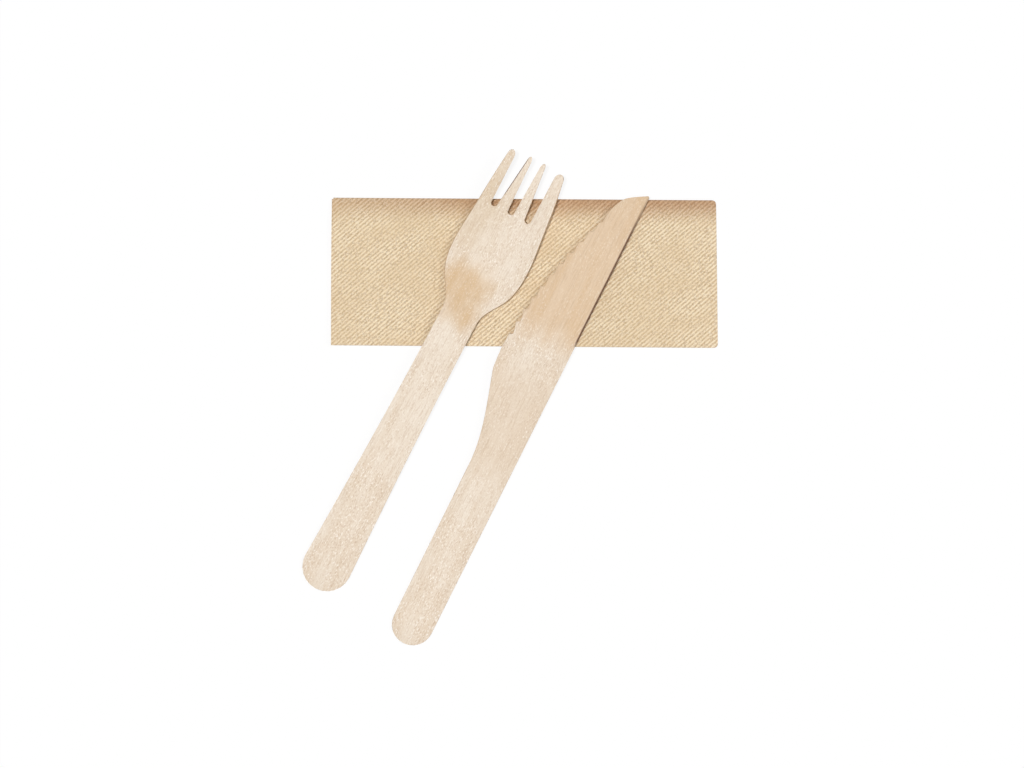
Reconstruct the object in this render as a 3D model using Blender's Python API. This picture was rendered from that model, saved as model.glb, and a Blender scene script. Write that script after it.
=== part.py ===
"""Disposable cutlery set: a birch fork and a birch knife lying across a folded paper napkin.

Metres, +Z up. The origin is the middle of the napkin's underside, on the table. +X runs along
the napkin's long side and +Y towards its soft folded edge. The fork and the knife are stamped
from veneer and hot-pressed: each stands with its butt on the table and its head on the napkin.
In a piece of cutlery's own frame, x runs from the butt to the tip and y to the left of it.
"""

import math

import bmesh
import bpy
import numpy as np
from mathutils import Vector
from mathutils.geometry import delaunay_2d_cdt

# Napkin: a square two-ply sheet, folded in quarters and then in three panels
PANEL_WIDTH = 0.0478          # the folded napkin, across
TUCK_WIDTH = 0.0296           # the short panel between the other two
PAPER_THICKNESS = 0.00017     # both plies of the sheet
LAYER_GAP = 0.00005           # air between two layers
SOFT_FOLD_SHARE = 0.41        # share of the hollow past the tuck where the top panel comes down
SOFT_FOLD_LIFT = 0.00018      # air that stays between the panels at the soft fold
SIDE_FOLD_LEAN = 0.0009       # the side fold leans in by this towards the soft fold
CORNER_ROUND = 0.0013         # folded corners, seen from above
END_STAGGER = 0.0006          # the cut ends of the layers miss one another by up to this
END_WAVE = 0.21               # length of sheet over which that grows and shrinks again

# Both pieces of cutlery
VENEER_THICKNESS = 0.0015
EDGE_ROUND = 0.00022          # tumbled edges
SEAT_CLEARANCE = 0.0003       # between a resting piece and the napkin

# Fork, along its length
FORK_HANDLE_LENGTH = 0.0999   # butt to neck
FORK_SHOULDER_LENGTH = 0.0215  # neck to the widest place of the head
FORK_PALM_LENGTH = 0.0148     # widest place to the roots of the slots
FORK_TINE_LENGTH = 0.0196     # of the two inner tines
OUTER_TIP_BACK = 0.0006       # the outer tines are shorter by this
# Fork, across
FORK_BUTT_WIDTH = 0.0160
FORK_NECK_WIDTH = 0.0122
FORK_HEAD_WIDTH = 0.0265
FORK_ROOT_WIDTH = 0.0241      # over the outer tines at their roots
FORK_TIP_WIDTH = 0.0194       # over the outer tines at their tips
SLOT_WIDTH = 0.0023           # at the round root
SLOT_PITCH = 0.0062
SLOT_SHIFT = 0.00095          # the slots are stamped a little to the left of the middle
TIP_LEAN = 0.0008             # and the tips lean the same way
INNER_TIP_SPREAD = 0.00245    # inner tips from the middle slot's axis
INNER_TIP_WIDTH = 0.0016
TIP_ROUND = 0.0020            # length of the round on each tip
# Fork, how its sides run: slopes in metres per metre, and shares
HANDLE_TAPER = -0.035         # at the butt
SHOULDER_TURN = 0.37          # share of the shoulder where the side turns from hollow to full
SHOULDER_STEEPNESS = 2.1      # slope there, against the shoulder's mean slope
ROOT_TAPER = -0.09            # at the roots of the slots
TIP_TAPER = -0.17             # at the tips
# Fork, pressed form
FORK_BEND_BACK = 0.0064       # the handle starts to bend this far before the neck
FORK_BOWL_PLACE = 0.0181      # neck to the bottom of the bowl
FORK_BOWL_DEPTH = 0.0032      # bottom of the bowl below the handle
FORK_TIP_RISE = 0.0027        # tips above the bottom of the bowl
FORK_DISH_RISE = 0.0014       # sides of the head above its middle
TIP_DISH_SHARE = 0.5          # share of that dish that is left at the tips
TIP_STEEPNESS = 1.1           # slope at the tips, against the mean slope from the bowl

# Knife, along its length
KNIFE_GRIP_LENGTH = 0.062     # the part of even width
KNIFE_FLARE_LENGTH = 0.031    # grip to the corner of the heel
KNIFE_HEEL_LENGTH = 0.012     # corner of the heel to the first tooth
KNIFE_TOOTHED_LENGTH = 0.0455
KNIFE_BELLY_LENGTH = 0.0092   # last tooth to where the edge turns down to the point
KNIFE_CLIP_LENGTH = 0.0048    # from there to the point
TOOTH_PITCH = 0.00455
TOOTH_DEPTH = 0.0011
# Knife, across, from the middle line of the grip
KNIFE_GRIP_WIDTH = 0.0135
KNIFE_HEEL_RISE = 0.0136      # cutting side of the heel's corner
KNIFE_EDGE_RISE = 0.0140      # cutting edge where it starts to fall
KNIFE_EDGE_END = 0.0038       # cutting edge at the last tooth
KNIFE_CLIP_RISE = 0.0001      # cutting edge where it turns down to the point
KNIFE_SPINE_DROP = 0.0006     # the spine moves out by this towards the point
POINT_ROUND = 0.0005          # blunting of the point
# Knife, how its cutting side runs: shares, and slopes against the mean slope of their stretch
HEEL_TOP_SHARE = 0.6          # share of the heel where the edge starts to fall
FLARE_STEEPNESS = 1.3         # at the corner of the heel
FALL_STEEPNESS = 1.8          # at the last tooth
CLIP_START_STEEPNESS = 0.45
CLIP_END_STEEPNESS = 1.15
# One tooth: share of its pitch and of its depth, from the side of the heel
TOOTH_HOLLOW = ((0.0, 0.0), (0.14, 1.0), (0.35, 0.9), (0.6, 0.62), (0.82, 0.28))
# Knife, pressed form
KNIFE_BEND_BACK = 0.0062      # the grip starts to bend this far before the corner of the heel
KNIFE_CREST_PLACE = 0.0168    # corner of the heel to the ridge between grip and blade
KNIFE_CREST_ROUND = 0.0024    # half the ridge's width
KNIFE_DIP_PLACE = 0.0120      # ridge to the dip behind it
KNIFE_ARCH_PLACE = 0.0285     # ridge to the top of the blade's arch
KNIFE_CREST = 0.0015          # ridge above the grip
KNIFE_BLADE_DIP = 0.0009      # dip above the grip
KNIFE_BLADE_ARCH = 0.0014     # top of the blade's arch above the grip
KNIFE_POINT_DROP = 0.0007     # point below the grip
CREST_STEEPNESS = 1.5         # either side of the ridge, against the mean slope
POINT_STEEPNESS = 1.8         # at the point

# Lay of the cutlery on the table
FORK_BUTT_X = -0.06697
FORK_BUTT_Y = -0.10258
FORK_TURN = math.radians(62.5)
KNIFE_TURN_IN = math.radians(1.55)  # the knife leans towards the fork by this
KNIFE_SPACE = 0.0066          # free space between the fork's head and the knife's heel, across
KNIFE_BACK = 0.0024           # the knife's butt behind the fork's, along

# Fineness of the meshes
ARC_STEPS = 12                # steps in a half round
FOLD_STEPS = 8                # steps round a fold in the paper
STRAIGHT_STEP = 0.0065        # along the handles, which are nearly straight and level
FORK_STEP = 0.0016            # along the rim of the head
TINE_STEP = 0.0026
KNIFE_STEP = 0.0018           # along the rim near the ridge
BLADE_STEP = 0.0030
EDGE_CLEAR = 0.45             # share of a row's spacing that its points keep from the edge


def material(name, colour, roughness):
    """A plain surface of one colour, given in linear light."""
    result = bpy.data.materials.new(name)
    result.use_nodes = True
    shader = result.node_tree.nodes["Principled BSDF"]
    shader.inputs["Base Color"].default_value = (*colour, 1.0)
    shader.inputs["Roughness"].default_value = roughness
    shader.inputs["Metallic"].default_value = 0.0
    return result


def add_object(name, mesh, surface):
    """An object for a finished mesh, with smooth faces and edges that stay sharp."""
    mesh.materials.append(surface)
    mesh.shade_smooth()
    mesh.set_sharp_from_angle(angle=math.radians(40))
    result = bpy.data.objects.new(name, mesh)
    bpy.context.collection.objects.link(result)
    return result


def smooth_curve(knots, x):
    """Height at x of the cubic through knots of (place, height, slope)."""
    pairs = zip(knots, knots[1:])
    start, end = next((pair for pair in pairs if x <= pair[1][0]), knots[-2:])
    span = end[0] - start[0]
    t = min(max((x - start[0]) / span, 0.0), 1.0)
    return (
        start[1] * (2 * t**3 - 3 * t**2 + 1)
        + start[2] * span * (t**3 - 2 * t**2 + t)
        + end[1] * (3 * t**2 - 2 * t**3)
        + end[2] * span * (t**3 - t**2)
    )


def spaced(start, end, step):
    """Even places from start to end, both included, no further apart than step."""
    count = max(1, math.ceil(abs(end - start) / step))
    return [start + (end - start) * i / count for i in range(count + 1)]


def half_round(x, y, reach, half_width, start_deg, steps=ARC_STEPS):
    """Points of a half ellipse round (x, y), turning left from start_deg."""
    angles = [math.radians(start_deg + 180 * i / steps) for i in range(steps + 1)]
    return [(x + reach * math.cos(a), y + half_width * math.sin(a)) for a in angles]


def between(start, end, parts):
    """Inner points of a straight wall in so many parts, without its ends."""
    shares = [i / parts for i in range(1, parts)]
    return [(start[0] + (end[0] - start[0]) * s, start[1] + (end[1] - start[1]) * s) for s in shares]


# Stamped and pressed veneer


def inside(outline, point):
    """Whether a point lies inside the closed outline."""
    x, y = point
    crossings = 0
    for (x0, y0), (x1, y1) in zip(outline, outline[1:] + outline[:1]):
        if (y0 > y) != (y1 > y) and x < x0 + (y - y0) * (x1 - x0) / (y1 - y0):
            crossings += 1
    return crossings % 2 == 1


def edge_distance(outline, point):
    """Distance in plan from a point to the closed outline."""
    start = np.array(outline)
    along = np.roll(start, -1, axis=0) - start
    to_point = np.array(point) - start
    share = np.clip((to_point * along).sum(axis=1) / (along**2).sum(axis=1), 0.0, 1.0)
    return np.linalg.norm(to_point - along * share[:, None], axis=1).min()


def inner_points(outline, stations, pitch):
    """Rows of points across the blank at the given stations, clear of its edge."""
    lowest = min(y for _, y in outline)
    highest = max(y for _, y in outline)
    grid = [(x, y) for x in stations for y in spaced(lowest, highest, pitch)]
    clear = EDGE_CLEAR * pitch
    return [p for p in grid if inside(outline, p) and edge_distance(outline, p) > clear]


def pressed_plate(name, outline, stations, pitch, form, surface):
    """A blank of the outline, filled with triangles, pressed to the form's heights.

    The mesh is the underside. The veneer's thickness is added above it and its edges are
    rounded by modifiers.
    """
    points = outline + inner_points(outline, stations, pitch)
    count = len(outline)
    rim = [(i, (i + 1) % count) for i in range(count)]
    plan, _, faces, _, _, _ = delaunay_2d_cdt([Vector(p) for p in points], rim, [], 1, 1e-7)

    mesh = bpy.data.meshes.new(name)
    mesh.from_pydata([(p.x, p.y, form(p.x, p.y)) for p in plan], [], faces)
    plate = bmesh.new()
    plate.from_mesh(mesh)
    bmesh.ops.delete(plate, geom=[v for v in plate.verts if not v.link_faces], context="VERTS")
    bmesh.ops.recalc_face_normals(plate, faces=plate.faces)
    if sum(face.normal.z for face in plate.faces) < 0:
        bmesh.ops.reverse_faces(plate, faces=plate.faces)
    plate.to_mesh(mesh)
    plate.free()

    result = add_object(name, mesh, surface)
    thicken = result.modifiers.new("veneer", "SOLIDIFY")
    thicken.thickness = VENEER_THICKNESS
    thicken.offset = 1.0
    thicken.use_even_offset = True
    edge = result.modifiers.new("tumbled_edge", "BEVEL")
    edge.width = EDGE_ROUND
    edge.segments = 2
    edge.limit_method = "ANGLE"
    edge.angle_limit = math.radians(70)
    return result


def lay_on_napkin(piece, place, half_length, half_width, top):
    """Tips a piece up until its head clears the napkin and its butt stands on the table.

    The place is an empty on the table that gives the butt's position and the piece's turn.
    """
    piece.parent = place
    points = np.array([v.co for v in piece.data.vertices])
    turn = place.rotation_euler.z
    margin = VENEER_THICKNESS

    def heights(tilt):
        """Height of each point of the underside, and which of them are over the napkin."""
        along = points[:, 0] * math.cos(tilt) - points[:, 2] * math.sin(tilt)
        up = points[:, 0] * math.sin(tilt) + points[:, 2] * math.cos(tilt)
        x = place.location.x + along * math.cos(turn) - points[:, 1] * math.sin(turn)
        y = place.location.y + along * math.sin(turn) + points[:, 1] * math.cos(turn)
        over = (abs(x) < half_length + margin) & (abs(y) < half_width + margin)
        return up - up.min(), over

    low = 0.0
    high = math.radians(20)
    for _ in range(40):
        tilt = (low + high) / 2
        up, over = heights(tilt)
        if up[over].min() < top + SEAT_CLEARANCE:
            low = tilt
        else:
            high = tilt
    piece.rotation_euler.y = -high
    lift = points[:, 0] * math.sin(high) + points[:, 2] * math.cos(high)
    piece.location.z = -lift.min()


# Fork


def fork_side(x):
    """Half the fork's width at x."""
    butt = FORK_BUTT_WIDTH / 2
    neck = FORK_NECK_WIDTH / 2
    head = FORK_HEAD_WIDTH / 2
    widest = FORK_HANDLE_LENGTH + FORK_SHOULDER_LENGTH
    roots = widest + FORK_PALM_LENGTH
    turn_out = FORK_HANDLE_LENGTH + SHOULDER_TURN * FORK_SHOULDER_LENGTH
    steepest = SHOULDER_STEEPNESS * (head - neck) / FORK_SHOULDER_LENGTH
    knots = [
        (butt, butt, HANDLE_TAPER),
        (FORK_HANDLE_LENGTH, neck, 0.0),
        (turn_out, (neck + head) / 2, steepest),
        (widest, head, 0.0),
        (roots, FORK_ROOT_WIDTH / 2, ROOT_TAPER),
        (roots + FORK_TINE_LENGTH, FORK_TIP_WIDTH / 2, TIP_TAPER),
    ]
    return smooth_curve(knots, x)


def fork_lean(x):
    """Sideways shift of the outer edges, which starts at the widest place and ends at the tips."""
    widest = FORK_HANDLE_LENGTH + FORK_SHOULDER_LENGTH
    share = max(0.0, (x - widest) / (FORK_PALM_LENGTH + FORK_TINE_LENGTH))
    return TIP_LEAN * share**2


def fork_outline():
    """The stamped outline, anticlockwise: butt, right side, four tines with three slots, left side."""
    butt = FORK_BUTT_WIDTH / 2
    roots = FORK_HANDLE_LENGTH + FORK_SHOULDER_LENGTH + FORK_PALM_LENGTH
    inner_end = roots + FORK_TINE_LENGTH - TIP_ROUND
    outer_end = inner_end - OUTER_TIP_BACK
    slot = SLOT_WIDTH / 2

    bend_start = FORK_HANDLE_LENGTH - FORK_BEND_BACK
    places = spaced(butt, bend_start, STRAIGHT_STEP)[1:]
    places += spaced(bend_start, roots, FORK_STEP)[1:]
    places += spaced(roots, outer_end, TINE_STEP)[1:]
    right_side = [(x, fork_lean(x) - fork_side(x)) for x in places]
    left_side = [(x, fork_lean(x) + fork_side(x)) for x in reversed(places)]

    # Each tine by where its tip's round starts and where its right and left walls end there,
    # from right to left. The outer tines' inner walls run straight on from the slots.
    inner_near = INNER_TIP_SPREAD - INNER_TIP_WIDTH / 2
    inner_far = INNER_TIP_SPREAD + INNER_TIP_WIDTH / 2
    outer_near = SLOT_PITCH + slot
    tines = [
        (outer_end, right_side[-1][1], SLOT_SHIFT - outer_near),
        (inner_end, SLOT_SHIFT - inner_far, SLOT_SHIFT - inner_near),
        (inner_end, SLOT_SHIFT + inner_near, SLOT_SHIFT + inner_far),
        (outer_end, SLOT_SHIFT + outer_near, left_side[0][1]),
    ]
    comb = []
    for number, (end, right, left) in enumerate(tines):
        comb += half_round(end, (right + left) / 2, TIP_ROUND, (left - right) / 2, -90)
        if number < 3:
            next_end, next_right, _ = tines[number + 1]
            root = half_round(roots + slot, SLOT_SHIFT + (number - 1) * SLOT_PITCH, -slot, slot, -90)
            comb += between((end, left), root[0], 4) + root
            comb += between(root[-1], (next_end, next_right), 4)
    return half_round(butt, 0.0, butt, butt, 90) + right_side[:-1] + comb + left_side[1:]


def fork_form(x, y):
    """Height of the fork's underside: a level handle, a dished bowl and rising tines."""
    neck = FORK_HANDLE_LENGTH
    bottom = neck + FORK_BOWL_PLACE
    roots = neck + FORK_SHOULDER_LENGTH + FORK_PALM_LENGTH
    tips = roots + FORK_TINE_LENGTH
    tip_height = FORK_TIP_RISE - FORK_BOWL_DEPTH
    middle = smooth_curve(
        [
            (0.0, 0.0, 0.0),
            (neck - FORK_BEND_BACK, 0.0, 0.0),
            (bottom, -FORK_BOWL_DEPTH, 0.0),
            (tips, tip_height, TIP_STEEPNESS * FORK_TIP_RISE / (tips - bottom)),
        ],
        x,
    )
    dish = smooth_curve(
        [
            (neck - FORK_BEND_BACK / 3, 0.0, 0.0),
            (bottom, FORK_DISH_RISE, 0.0),
            (roots, FORK_DISH_RISE, 0.0),
            (tips, TIP_DISH_SHARE * FORK_DISH_RISE, 0.0),
        ],
        x,
    )
    return middle + dish * (y / (FORK_HEAD_WIDTH / 2)) ** 2


def build_fork(surface):
    """The stamped and pressed fork, in its own frame."""
    roots = FORK_HANDLE_LENGTH + FORK_SHOULDER_LENGTH + FORK_PALM_LENGTH
    tips = roots + FORK_TINE_LENGTH
    bend_start = FORK_HANDLE_LENGTH - FORK_BEND_BACK
    stations = spaced(FORK_BUTT_WIDTH / 4, bend_start, STRAIGHT_STEP)
    stations += spaced(bend_start, roots, 1.2 * FORK_STEP)[1:] + spaced(roots, tips, TINE_STEP)[1:]
    return pressed_plate("fork", fork_outline(), stations, 1.3 * FORK_STEP, fork_form, surface)


# Knife


def knife_length():
    """Length of the knife, from its butt to its point."""
    blade = KNIFE_HEEL_LENGTH + KNIFE_TOOTHED_LENGTH + KNIFE_BELLY_LENGTH + KNIFE_CLIP_LENGTH
    return KNIFE_GRIP_LENGTH + KNIFE_FLARE_LENGTH + blade


def knife_edge(x):
    """The knife's cutting side at x, without its teeth."""
    grip = KNIFE_GRIP_WIDTH / 2
    corner = KNIFE_GRIP_LENGTH + KNIFE_FLARE_LENGTH
    falls = corner + HEEL_TOP_SHARE * KNIFE_HEEL_LENGTH
    teeth_end = corner + KNIFE_HEEL_LENGTH + KNIFE_TOOTHED_LENGTH
    flare_slope = FLARE_STEEPNESS * (KNIFE_HEEL_RISE - grip) / KNIFE_FLARE_LENGTH
    heel_slope = (KNIFE_EDGE_RISE - KNIFE_HEEL_RISE) / (falls - corner)
    fall_slope = FALL_STEEPNESS * (KNIFE_EDGE_END - KNIFE_EDGE_RISE) / (teeth_end - falls)
    if x < corner:
        knots = [(grip, grip, 0.0), (KNIFE_GRIP_LENGTH, grip, 0.0), (corner, KNIFE_HEEL_RISE, flare_slope)]
    else:
        knots = [
            (corner, KNIFE_HEEL_RISE, heel_slope),
            (falls, KNIFE_EDGE_RISE, 0.0),
            (teeth_end, KNIFE_EDGE_END, fall_slope),
        ]
    return smooth_curve(knots, x)


def knife_teeth():
    """Points of the teeth, from the last one near the point back to the heel.

    Each tooth falls away steeply on the side of the point and runs back out in a shallow hollow.
    """
    start = KNIFE_GRIP_LENGTH + KNIFE_FLARE_LENGTH + KNIFE_HEEL_LENGTH
    count = max(1, round(KNIFE_TOOTHED_LENGTH / TOOTH_PITCH))
    pitch = KNIFE_TOOTHED_LENGTH / count
    points = []
    for tooth in reversed(range(count)):
        for share, depth in reversed(TOOTH_HOLLOW):
            x = start + (tooth + share) * pitch
            points.append((x, knife_edge(x) - depth * TOOTH_DEPTH))
    return points


def knife_outline():
    """The stamped outline, anticlockwise: butt, spine, point, teeth, heel."""
    grip = KNIFE_GRIP_WIDTH / 2
    corner = KNIFE_GRIP_LENGTH + KNIFE_FLARE_LENGTH
    teeth_start = corner + KNIFE_HEEL_LENGTH
    teeth_end = teeth_start + KNIFE_TOOTHED_LENGTH
    clip = teeth_end + KNIFE_BELLY_LENGTH
    tip = clip + KNIFE_CLIP_LENGTH

    bend_start = corner - KNIFE_BEND_BACK
    spine_places = spaced(grip, bend_start, STRAIGHT_STEP)
    spine_places += spaced(bend_start, tip - POINT_ROUND, KNIFE_STEP)[1:]
    spine = [(x, -grip - KNIFE_SPINE_DROP * (x - grip) / (tip - grip)) for x in spine_places]
    # The edge bellies out from the last tooth and is clipped slantwise down to the point.
    low = spine[-1][1] + POINT_ROUND
    clip_slope = (low - KNIFE_CLIP_RISE) / KNIFE_CLIP_LENGTH
    belly_knots = [
        (teeth_end, KNIFE_EDGE_END - TOOTH_DEPTH, 0.0),
        (clip, KNIFE_CLIP_RISE, CLIP_START_STEEPNESS * clip_slope),
        (tip, low, CLIP_END_STEEPNESS * clip_slope),
    ]
    belly = [(x, smooth_curve(belly_knots, x)) for x in reversed(spaced(teeth_end, tip, POINT_ROUND))]
    heel = [(x, knife_edge(x)) for x in reversed(spaced(corner, teeth_start, KNIFE_STEP))][1:]
    flare = [(x, knife_edge(x)) for x in reversed(spaced(KNIFE_GRIP_LENGTH, corner, KNIFE_STEP))][1:]
    grip_side = [(x, grip) for x in reversed(spaced(grip, KNIFE_GRIP_LENGTH, STRAIGHT_STEP))][1:-1]
    butt_round = half_round(grip, 0.0, grip, grip, 90)
    return butt_round + spine[1:] + belly + knife_teeth() + heel + flare + grip_side


def knife_form(x, _):
    """Height of the knife's underside: a level grip, a ridge at the heel and an arched blade."""
    corner = KNIFE_GRIP_LENGTH + KNIFE_FLARE_LENGTH
    start = corner - KNIFE_BEND_BACK
    crest = corner + KNIFE_CREST_PLACE
    dip = crest + KNIFE_DIP_PLACE
    arch = crest + KNIFE_ARCH_PLACE
    tip = knife_length()
    # Slopes where each curve is steepest
    climb = CREST_STEEPNESS * KNIFE_CREST / (crest - start)
    fall = CREST_STEEPNESS * (KNIFE_CREST - KNIFE_BLADE_DIP) / KNIFE_DIP_PLACE
    droop = POINT_STEEPNESS * (KNIFE_BLADE_ARCH + KNIFE_POINT_DROP) / (tip - arch)
    return smooth_curve(
        [
            (0.0, 0.0, 0.0),
            (start, 0.0, 0.0),
            (crest - KNIFE_CREST_ROUND, KNIFE_CREST - climb * KNIFE_CREST_ROUND / 2, climb),
            (crest + KNIFE_CREST_ROUND, KNIFE_CREST - fall * KNIFE_CREST_ROUND / 2, -fall),
            (dip, KNIFE_BLADE_DIP, 0.0),
            (arch, KNIFE_BLADE_ARCH, 0.0),
            (tip, -KNIFE_POINT_DROP, -droop),
        ],
        x,
    )


def build_knife(surface):
    """The stamped and pressed knife, in its own frame."""
    bend_start = KNIFE_GRIP_LENGTH + KNIFE_FLARE_LENGTH - KNIFE_BEND_BACK
    dip = bend_start + KNIFE_BEND_BACK + KNIFE_CREST_PLACE + KNIFE_DIP_PLACE
    stations = spaced(KNIFE_GRIP_WIDTH / 4, bend_start, STRAIGHT_STEP)
    stations += spaced(bend_start, dip, KNIFE_STEP)[1:] + spaced(dip, knife_length(), BLADE_STEP)[1:]
    return pressed_plate("knife", knife_outline(), stations, BLADE_STEP, knife_form, surface)


# Napkin


def fold_round(y, z, radius, start_deg, turn_deg):
    """Points of a fold round (y, z), without the first and the last."""
    angles = [math.radians(start_deg + turn_deg * i / FOLD_STEPS) for i in range(1, FOLD_STEPS)]
    return [(y + radius * math.cos(a), z + radius * math.sin(a)) for a in angles]


def panel_line(half_width, layer):
    """Middle line of the four-layer stack through the three panels, in the YZ plane.

    It starts at the tuck's free end, turns at the hard fold to the bottom panel and at the
    soft fold to the top panel, which ends over the hard fold.
    """
    stack = 4 * layer
    shell = (3 * layer + PAPER_THICKNESS) / 2
    bottom = shell
    tuck = bottom + stack
    top = tuck + stack
    hard = -half_width + shell + stack / 2
    tuck_end = -half_width + TUCK_WIDTH
    hollow = half_width - tuck_end
    soft_top = top - (stack - SOFT_FOLD_LIFT)
    soft_radius = (soft_top - bottom) / 2
    soft = half_width - shell - soft_radius
    soft_start = soft - SOFT_FOLD_SHARE * hollow

    line = [(tuck_end, tuck), (hard, tuck)]
    line += fold_round(hard, (bottom + tuck) / 2, stack / 2, 90, 180)
    line += [(hard, bottom), (soft, bottom)]
    line += fold_round(soft, (bottom + soft_top) / 2, soft_radius, -90, 180)
    for y in reversed(spaced(soft_start, soft, SOFT_FOLD_SHARE * hollow / 6)):
        share = (y - soft_start) / (soft - soft_start)
        line.append((y, top - (top - soft_top) * (3 * share**2 - 2 * share**3)))
    line.append((-half_width + shell, top))
    return line


def normals(line):
    """Unit normals on the left of a line of (y, z) points."""
    points = np.array(line)
    steps = np.diff(points, axis=0)
    steps /= np.linalg.norm(steps, axis=1)[:, None]
    along = np.vstack([steps[:1], steps[:-1] + steps[1:], steps[-1:]])
    along /= np.linalg.norm(along, axis=1)[:, None]
    return np.column_stack([-along[:, 1], along[:, 0]])


def side_fold_inset(y):
    """How far the side fold is drawn in at y, where it leans and at its rounded corners."""
    half_width = PANEL_WIDTH / 2
    past = min(max(abs(y) - half_width + CORNER_ROUND, 0.0), CORNER_ROUND)
    rounding = CORNER_ROUND - math.sqrt(CORNER_ROUND**2 - past**2)
    return SIDE_FOLD_LEAN * (1 + y / half_width) / 2 + rounding


def end_inset(travelled):
    """How far a layer's cut end is drawn in, so far along the folding path."""
    return END_STAGGER * (1 + math.sin(2 * math.pi * travelled / END_WAVE)) / 2


def build_napkin(surface):
    """The folded sheet: two layers joined along one short side, laid along the folding path."""
    layer = PAPER_THICKNESS + LAYER_GAP
    length = 2 * PANEL_WIDTH + TUCK_WIDTH
    line = panel_line(PANEL_WIDTH / 2, layer)
    side = normals(line)
    outward = [np.array(p) - layer * n for p, n in zip(line, side)]
    inward = [np.array(p) + layer * n for p, n in zip(line, side)]
    end = line[-1]
    half_fold = [np.array(p) for p in fold_round(end[0], end[1], layer, 90, 180)]
    path = outward + half_fold + inward[::-1]
    path_normals = -normals(path)

    # Cross-section of the doubled sheet: its outer and inner skin, round the fold at +X
    fold_x = length / 2 - layer / 2 - PAPER_THICKNESS / 2
    skins = []
    for radius in (layer / 2 + PAPER_THICKNESS / 2, layer / 2 - PAPER_THICKNESS / 2):
        fold = half_round(fold_x, 0.0, radius, radius, -90, FOLD_STEPS)
        skins.append([(-length / 2, -radius)] + fold + [(-length / 2, radius)])

    sheet = bmesh.new()
    rings = []
    travelled = 0.0
    for number, (place, normal) in enumerate(zip(path, path_normals)):
        travelled += math.dist(place, path[max(number - 1, 0)])
        ring = []
        for skin in skins:
            spots = []
            for x, offset in skin:
                y, z = place + normal * offset
                inset = end_inset(travelled) if x < 0 else -side_fold_inset(y)
                spots.append(sheet.verts.new((x + inset, y, z)))
            ring.append(spots)
        rings.append(ring)
    last = len(skins[0]) - 1
    for before, after in zip(rings, rings[1:]):
        for k in range(last):
            sheet.faces.new((before[0][k], before[0][k + 1], after[0][k + 1], after[0][k]))
            sheet.faces.new((after[1][k], after[1][k + 1], before[1][k + 1], before[1][k]))
        for k in (0, last):
            sheet.faces.new((before[0][k], after[0][k], after[1][k], before[1][k]))
    for ring in (rings[0], rings[-1]):
        for k in range(last):
            sheet.faces.new((ring[0][k], ring[1][k], ring[1][k + 1], ring[0][k + 1]))
    bmesh.ops.recalc_face_normals(sheet, faces=sheet.faces)
    mesh = bpy.data.meshes.new("napkin")
    sheet.to_mesh(mesh)
    sheet.free()
    return add_object("napkin", mesh, surface)


def add_place(name, x, y, turn):
    """An empty on the table that carries one piece of cutlery."""
    place = bpy.data.objects.new(name, None)
    place.empty_display_size = 0.01
    place.location = (x, y, 0.0)
    place.rotation_euler.z = turn
    bpy.context.collection.objects.link(place)
    return place


def main():
    for old in list(bpy.data.objects):
        bpy.data.objects.remove(old, do_unlink=True)

    build_napkin(material("unbleached_tissue", (0.76, 0.61, 0.42), 0.95))
    fork = build_fork(material("birch_fork", (0.83, 0.71, 0.57), 0.62))
    knife = build_knife(material("birch_knife", (0.80, 0.66, 0.50), 0.62))

    half_length = PANEL_WIDTH + TUCK_WIDTH / 2
    half_width = PANEL_WIDTH / 2
    top = 12 * PAPER_THICKNESS + 11 * LAYER_GAP
    fork_place = add_place("fork_place", FORK_BUTT_X, FORK_BUTT_Y, FORK_TURN)
    lay_on_napkin(fork, fork_place, half_length, half_width, top)

    aside = FORK_HEAD_WIDTH / 2 + KNIFE_SPACE + KNIFE_HEEL_RISE
    knife_x = FORK_BUTT_X - KNIFE_BACK * math.cos(FORK_TURN) + aside * math.sin(FORK_TURN)
    knife_y = FORK_BUTT_Y - KNIFE_BACK * math.sin(FORK_TURN) - aside * math.cos(FORK_TURN)
    knife_place = add_place("knife_place", knife_x, knife_y, FORK_TURN + KNIFE_TURN_IN)
    lay_on_napkin(knife, knife_place, half_length, half_width, top)


main()
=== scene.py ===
"""Cutlery set: a birch fork and a birch knife lying across a folded, embossed paper napkin.

Everything is in metres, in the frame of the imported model: the origin is the middle of the
napkin's underside on the table, +X runs along the napkin and +Y towards its soft fold.
"""

import math

import bmesh
import bpy
import numpy as np
from bpy.props import FloatProperty, FloatVectorProperty, PointerProperty
from mathutils import Matrix, Vector, noise


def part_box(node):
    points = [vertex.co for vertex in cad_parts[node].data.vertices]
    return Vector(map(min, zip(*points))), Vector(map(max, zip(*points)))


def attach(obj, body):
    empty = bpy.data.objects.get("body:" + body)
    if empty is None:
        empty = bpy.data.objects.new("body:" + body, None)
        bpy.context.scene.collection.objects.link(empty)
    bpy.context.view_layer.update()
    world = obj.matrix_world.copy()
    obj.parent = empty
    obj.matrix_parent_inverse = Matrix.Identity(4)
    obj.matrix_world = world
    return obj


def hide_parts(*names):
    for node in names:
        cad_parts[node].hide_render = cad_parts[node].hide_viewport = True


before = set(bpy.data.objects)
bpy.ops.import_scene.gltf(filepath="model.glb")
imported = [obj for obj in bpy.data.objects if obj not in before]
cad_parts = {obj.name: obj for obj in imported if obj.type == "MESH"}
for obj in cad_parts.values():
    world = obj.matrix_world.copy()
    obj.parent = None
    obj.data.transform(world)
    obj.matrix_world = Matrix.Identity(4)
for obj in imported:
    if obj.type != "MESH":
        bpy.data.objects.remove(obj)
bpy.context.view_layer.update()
NAPKIN_LOW, NAPKIN_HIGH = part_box("napkin")

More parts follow.
